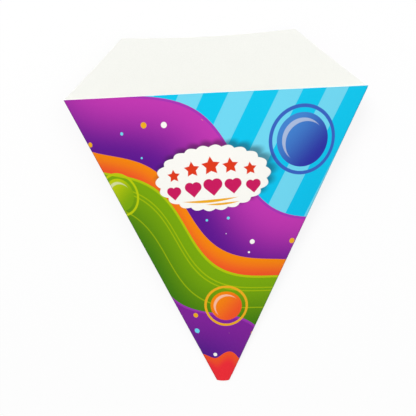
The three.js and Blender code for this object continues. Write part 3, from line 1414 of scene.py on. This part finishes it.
    def in_row(self, x: Wire, y: Wire, row: MotifRow) -> tuple[Wire, Wire, Wire]:
        """Finds the nearest motif of a row.

        Args:
            x: Place across the plaque.
            y: Place up the plaque.
            row: The row.

        Returns:
            The place across and up from that motif's middle, and its size.
        """
        graph = self.graph
        nearest = graph.maths("ROUND", x * (1 / row.pitch))
        index = graph.low(graph.high(nearest, -row.each_side), row.each_side)
        height = y - row.height + index * index * row.drop
        return x - index * row.pitch, height, row.size - abs(index) * row.shrink

    def star(self, x: Wire, y: Wire, size: Wire) -> Wire:
        """Draws a star with five points.

        Args:
            x: Place across, from its middle.
            y: Place up.
            size: Distance of its points from the middle.

        Returns:
            The distance outside it, below zero inside.
        """
        fold = math.pi / 5
        angle = self.graph.maths("PINGPONG", self.graph.maths("ARCTAN2", x, y), fold)
        reach = self.graph.length(x, y)
        edge = Vector((self.STAR_WAIST * math.sin(fold), 1 - self.STAR_WAIST * math.cos(fold))).normalized()
        along = reach * self.graph.maths("COSINE", angle)
        beside = reach * self.graph.maths("SINE", angle)
        return along * edge.x + beside * edge.y - size * (self.STAR_REACH * edge.x)

    def heart(self, x: Wire, y: Wire, size: Wire) -> Wire:
        """Draws a heart made of a square on its corner and two discs.

        Args:
            x: Place across, from its middle.
            y: Place up.
            size: Side of the square.

        Returns:
            The distance outside it, below zero inside.
        """
        side = abs(x)
        middle = size * (math.sqrt(0.5) / 2)
        lobe = self.graph.length(side - middle, y - middle) - size * 0.5
        square = (side + abs(y)) * math.sqrt(0.5) - size * 0.5
        return self.graph.low(lobe, square)

    def stroke(self, x: Wire, y: Wire, stroke: Stroke) -> Wire:
        """Draws a tapered stroke.

        Args:
            x: Place across the plaque.
            y: Place up the plaque.
            stroke: The stroke.

        Returns:
            The distance outside it, below zero inside.
        """
        along = x - stroke.x
        taper = 1.0 - along * along * (1 / stroke.half_length ** 2)
        return abs(y - stroke.y - along * along * stroke.bend) - taper * stroke.half_width

    def creases(self, sizes: BlankSizes, speckle: Wire) -> None:
        """Paints shade along the creases, where the fold turns away from the light, and lets the white card
        show where the ink has cracked.

        Args:
            sizes: Sizes of the blank.
            speckle: Fine noise, about 0.5 on average.
        """
        graph = self.graph
        across, up = self.x * math.cos(sizes.half), self.y * math.sin(sizes.half)
        nearest = graph.low(abs(across + up), abs(across - up))
        # Painted shade: a dark band along each crease, standing in for the fold turning away from the light.
        self.lay(Ink.SHADE, graph.ramp(nearest, *self.CREASE_SHADE_REACH) * self.CREASE_SHADE_STRENGTH)
        cracked = graph.ramp(nearest, *self.CRACK_REACH) * graph.ramp(speckle, *self.CRACK_GRAIN)
        self.lay(Ink.WHITE, cracked * self.CRACK_STRENGTH)


@dataclass(frozen=True)
class Finish:
    """The surface of one kind of card: its colour range, roughness and relief."""

    name: str
    roughness: float
    roughness_range: float
    specular: float
    grain: float
    relief: float
    colours: tuple[tuple[float, float, float, float], ...] = ()


class Finishes:
    """The three surfaces of the card."""

    PRINTED = Finish("printed_card", 0.5, 0.1, 0.09, 0.32, 0.3)
    BARE = Finish("bare_card", 0.78, 0.1, 0.25, 0.45, 0.5,
                  ((0.824, 0.829, 0.788, 1.0), (0.85, 0.853, 0.814, 1.0)))
    CUT = Finish("cut_edge", 0.88, 0.08, 0.2, 0.2, 0.8,
                 ((0.9, 0.9, 0.88, 1.0), (0.97, 0.97, 0.96, 1.0)))
    INK_GRAIN = (0.55, 0.9)
    INK_GRAIN_STRENGTH = 0.03
    GRAIN_SHARE = 0.6
    COLOUR_RANGE = (0.35, 0.62)
    FIBRE_WIDTHS = (0.3, 0.35)
    FIBRE_STRETCH = 7.0
    MOTTLE_SIZE = 4.0
    RELIEF_HEIGHT = 0.012

    def __init__(self, sizes: BlankSizes) -> None:
        """Takes the sizes of the blank."""
        self.sizes = sizes

    def printed(self) -> bpy.types.Material:
        """Draws the print of the outside and the painted shade along its creases.

        Returns:
            The printed material.
        """
        material, graph = self._start(self.PRINTED)
        pattern = Print(graph)
        pattern.stripes()
        for ribbon in RIBBONS:
            pattern.ribbon(ribbon)
        for disc in DISCS:
            pattern.disc(disc)
        pattern.tip()
        pattern.plaque(Plaque())
        grain = self._grain(graph, self.PRINTED.grain)
        pattern.creases(self.sizes, grain)
        pattern.lay(Ink.WHITE, graph.ramp(grain, *self.INK_GRAIN) * self.INK_GRAIN_STRENGTH)
        self._end(graph, self.PRINTED, pattern.colour, grain)
        return material

    def plain(self, finish: Finish) -> bpy.types.Material:
        """Returns the bare inside or the cut edge.

        Args:
            finish: Which of them.

        Returns:
            The material.
        """
        material, graph = self._start(finish)
        grain = self._grain(graph, finish.grain)
        texture = grain * self.GRAIN_SHARE + self._fibres(graph) * (1 - self.GRAIN_SHARE)
        colour = graph.blend(*finish.colours, graph.ramp(texture, *self.COLOUR_RANGE))
        self._end(graph, finish, colour, texture)
        return material

    def build(self) -> list[bpy.types.Material]:
        """Returns the materials in the order of the kinds of surface."""
        return [self.printed(), self.plain(self.BARE), self.plain(self.CUT)]

    def _start(self, finish: Finish) -> tuple[bpy.types.Material, Graph]:
        """Returns an empty material and its graph."""
        material = bpy.data.materials.new(finish.name)
        return material, emptied(material)

    def _place(self, graph: Graph) -> Wire:
        """Returns the place on the object, in metres."""
        return graph.wire(graph.node("ShaderNodeTexCoord"), "Object")

    def _grain(self, graph: Graph, size: float) -> Wire:
        """Returns fine noise with grains of a size in millimetres."""
        return graph.noise(self._place(graph), 1 / (size * MM), detail=3.0, roughness=0.6)

    def _fibres(self, graph: Graph) -> Wire:
        """Makes noise that is drawn out along X and Y like pressed fibres.

        Args:
            graph: The material's graph.

        Returns:
            The noise.
        """
        x, y, z = graph.split(self._place(graph))
        fine, coarse = (1 / (width * MM) for width in self.FIBRE_WIDTHS)
        along = graph.noise(graph.join(x / self.FIBRE_STRETCH, y, z), fine)
        across = graph.noise(graph.join(x, y / self.FIBRE_STRETCH, z), coarse)
        return graph.high(along, across)

    def _end(self, graph: Graph, finish: Finish, colour: Value, relief: Wire) -> None:
        """Ends a material in its shader.

        Args:
            graph: The material's graph.
            finish: The finish.
            colour: Its colour.
            relief: The height of its surface, from 0 to 1.
        """
        mottle = graph.noise(self._place(graph), 1 / (self.MOTTLE_SIZE * MM))
        roughness = mottle * finish.roughness_range + (finish.roughness - finish.roughness_range / 2)
        bump = graph.node("ShaderNodeBump", values={
            "Strength": finish.relief, "Distance": self.RELIEF_HEIGHT * MM, "Height": relief})
        shader = graph.node("ShaderNodeBsdfPrincipled", values={
            "Base Color": colour, "Roughness": roughness, "Specular IOR Level": finish.specular,
            "Normal": graph.wire(bump)})
        graph.node("ShaderNodeOutputMaterial", values={"Surface": graph.wire(shader)})


class PaperCone:
    """The folded card."""

    NODE = "paper_cone"
    SHARP_ANGLE = math.radians(32)

    def __init__(self) -> None:
        """Takes the sizes of the blank and how finely it is made."""
        self.sizes = BlankSizes()
        self.cone = BowedCone(self.sizes)
        self.weave = Weave()
        self.waviness = Waviness()

    def build(self) -> bpy.types.Object:
        """Makes the folded card and puts it where the solid lies.

        Returns:
            The card's object.
        """
        materials = Finishes(self.sizes).build()
        flat = FlatSheet(self.sizes, self.cone, self.weave).build()
        for material in materials:
            flat.materials.append(material)
        sheet = added("flat_sheet", flat)
        mesh = FoldTree(materials).apply(sheet, {
            "Half Thickness": self.sizes.skin * MM,
            "Opening": self.cone.opening,
            "Turn": self.cone.turn,
            "Tilt": self.cone.tilt,
            "Crease Swing": self.cone.crease_swing,
            "Lean": self.cone.lean,
            "Wave Height": self.waviness.height * MM,
            "Wave Spacing": self.waviness.spacing * MM,
            "Wave Seed": self.waviness.seed,
        })
        bpy.data.objects.remove(sheet)
        bpy.data.meshes.remove(flat)
        for name in (*FlatSheet.FIELDS, "surface"):
            mesh.attributes.remove(mesh.attributes[name])
        self._place(mesh)
        mesh.set_sharp_from_angle(angle=self.SHARP_ANGLE)
        return added("card_cone", mesh)

    def _place(self, mesh: bpy.types.Mesh) -> None:
        """Moves the mesh so that its box stands on the solid's box, centre on centre.

        Args:
            mesh: The folded mesh.
        """
        low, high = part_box(self.NODE)
        corners = [[vertex.co[axis] for vertex in mesh.vertices] for axis in range(3)]
        centre = [(min(values) + max(values)) / 2 for values in corners]
        shift = Vector((
            (low.x + high.x) / 2 - centre[0], (low.y + high.y) / 2 - centre[1], low.z - min(corners[2])))
        mesh.transform(Matrix.Translation(shift))


@dataclass(frozen=True)
class Lamp:
    """A soft square lamp: where it hangs, its side and its share of the light on a level sheet."""

    name: str
    place: tuple[float, float, float]
    side: float
    share: float


@dataclass(frozen=True)
class Studio:
    """The floor, the light and the camera."""

    floor_half: float = 3.0
    floor_grey: float = 0.93
    glow_strength: float = 0.995
    floor_glow: float = 0.84
    floor_fade: tuple[float, float] = (0.15, 0.9)
    world_share: float = 0.46
    lamps: tuple[Lamp, ...] = (
        Lamp("key_lamp", (-0.28, 0.55, 0.86), 0.6, 0.46),
        Lamp("fill_lamp", (0.6, 0.2, 0.78), 0.7, 0.2),
    )
    camera_place: tuple[float, float, float] = (0.01001, 0.01322, 0.21211)
    camera_turn: tuple[float, float, float] = (-0.05567, 0.06736, -0.03429)
    focal_pixels: float = 430.0
    sensor: float = 36.0
    nearest: float = 0.01

    def build(self) -> None:
        """Makes the floor, the world, the lamps and the camera."""
        self._floor()
        self._world()
        for lamp in self.lamps:
            self._lamp(lamp)
        self._camera()

    @staticmethod
    def _seen(graph: Graph) -> Wire:
        """Tells the rays that show a thing itself from those that carry its light.

        Args:
            graph: The graph of the floor or the world.

        Returns:
            1 for the first kind and 0 for the second.
        """
        path = graph.node("ShaderNodeLightPath")
        camera, glossy, through = (
            graph.wire(path, name) for name in ("Is Camera Ray", "Is Glossy Ray", "Is Transmission Ray"))
        return graph.high(graph.high(camera, glossy), through)

    def _floor(self) -> None:
        """Lays a pale floor that keeps the object's shadow and melts into the white behind it."""
        half = self.floor_half
        mesh = bpy.data.meshes.new("floor")
        corners = [(-half, -half, 0), (half, -half, 0), (half, half, 0), (-half, half, 0)]
        mesh.from_pydata(corners, [], [(0, 1, 2, 3)])
        material = bpy.data.materials.new("floor")
        graph = emptied(material)
        seen = self._seen(graph)
        x, y, _ = graph.split(graph.wire(graph.node("ShaderNodeTexCoord"), "Object"))
        away = graph.ramp(graph.length(x, y), *self.floor_fade)
        glow_share = away * (1 - self.floor_glow) + self.floor_glow
        grey = self.floor_grey
        matt = graph.node("ShaderNodeBsdfDiffuse", values={"Color": (grey, grey, grey, 1.0)})
        glow = graph.node("ShaderNodeEmission", values={
            "Color": (1.0, 1.0, 1.0, 1.0), "Strength": self.glow_strength})
        mixed = graph.node("ShaderNodeMixShader", values={
            0: seen * glow_share, 1: graph.wire(matt), 2: graph.wire(glow)})
        graph.node("ShaderNodeOutputMaterial", values={"Surface": graph.wire(mixed)})
        mesh.materials.append(material)
        floor = added("floor", mesh)

    def _world(self) -> None:
        """Lights the scene evenly, and shows white behind it."""
        world = bpy.data.worlds.new("studio")
        graph = emptied(world)
        strength = self._seen(graph) * (1 - self.world_share) + self.world_share
        back = graph.node("ShaderNodeBackground", values={
            "Color": (1.0, 1.0, 1.0, 1.0), "Strength": strength})
        graph.node("ShaderNodeOutputWorld", values={"Surface": graph.wire(back)})
        bpy.context.scene.world = world

    def _lamp(self, lamp: Lamp) -> None:
        """Hangs a lamp that looks at the object, as strong as its share of the light asks.

        Args:
            lamp: The lamp.
        """
        place = Vector(lamp.place)
        data = bpy.data.lights.new(lamp.name, "AREA")
        data.shape = "SQUARE"
        data.size = lamp.side
        data.energy = lamp.share * math.pi ** 2 * place.length_squared * place.length / place.z
        light = added(lamp.name, data)
        light.location = place
        light.rotation_euler = (-place).to_track_quat("-Z", "Y").to_euler()

    def _camera(self) -> None:
        """Makes the camera at the picture's viewing angle."""
        data = bpy.data.cameras.new("camera")
        data.sensor_width = self.sensor
        data.lens = self.focal_pixels * self.sensor / PICTURE_SIDE
        data.clip_start = self.nearest
        camera = added("camera", data)
        camera.location = self.camera_place
        camera.rotation_euler = self.camera_turn
        bpy.context.scene.camera = camera


def write_sizes() -> None:
    """Brings the view layer up to date."""
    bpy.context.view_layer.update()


def main() -> None:
    """Builds the card, dresses it and sets up the studio."""
    logging.basicConfig(level=logging.INFO, format="%(name)s: %(message)s")
    bpy.context.scene.view_settings.view_transform = "Standard"
    cone = PaperCone()
    card = cone.build()
    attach(card, "root")
    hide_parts(PaperCone.NODE)
    log.info("%s: %d vertices, %d faces", card.name, len(card.data.vertices), len(card.data.polygons))
    Studio().build()
    log.info("floor, world, lamps and camera are in place")
    write_sizes()


if __name__ == "__main__":
    main()
